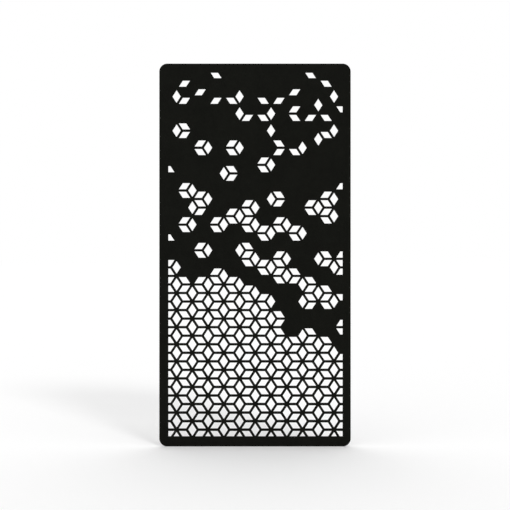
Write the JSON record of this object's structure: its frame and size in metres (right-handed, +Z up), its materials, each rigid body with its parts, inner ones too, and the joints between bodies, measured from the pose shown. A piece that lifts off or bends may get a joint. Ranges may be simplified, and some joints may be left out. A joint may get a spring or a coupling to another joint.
{
  "type": "hanging acoustic screen",
  "caption": "Upright pressed-felt room divider with rounded corners, cut through with tumbling blocks that thin out upwards, hung from threaded sockets in its top edge.",
  "frame": {"origin": "on the top edge, midway between the mouths of the two hanger sockets", "axes": "+Z up along the screen's height, +X along its width to the right as seen from the front, +Y through its thickness towards the back"},
  "size_m": [1.2, 0.012, 2.4],
  "materials": {
    "felt": "matte black pressed polyester felt, cut edges open",
    "zinc_steel": "bright zinc plated steel",
    "black_steel": "matte black coated steel"
  },
  "bodies": {
    "root": {"felt_panel": "felt", "left_hanger_plate": "zinc_steel", "right_hanger_plate": "zinc_steel", "left_hanger_socket": "zinc_steel", "right_hanger_socket": "zinc_steel", "socket_rivets": "zinc_steel", "clamp_screws": "black_steel", "screw_washers": "black_steel"}
  },
  "joints": []
}
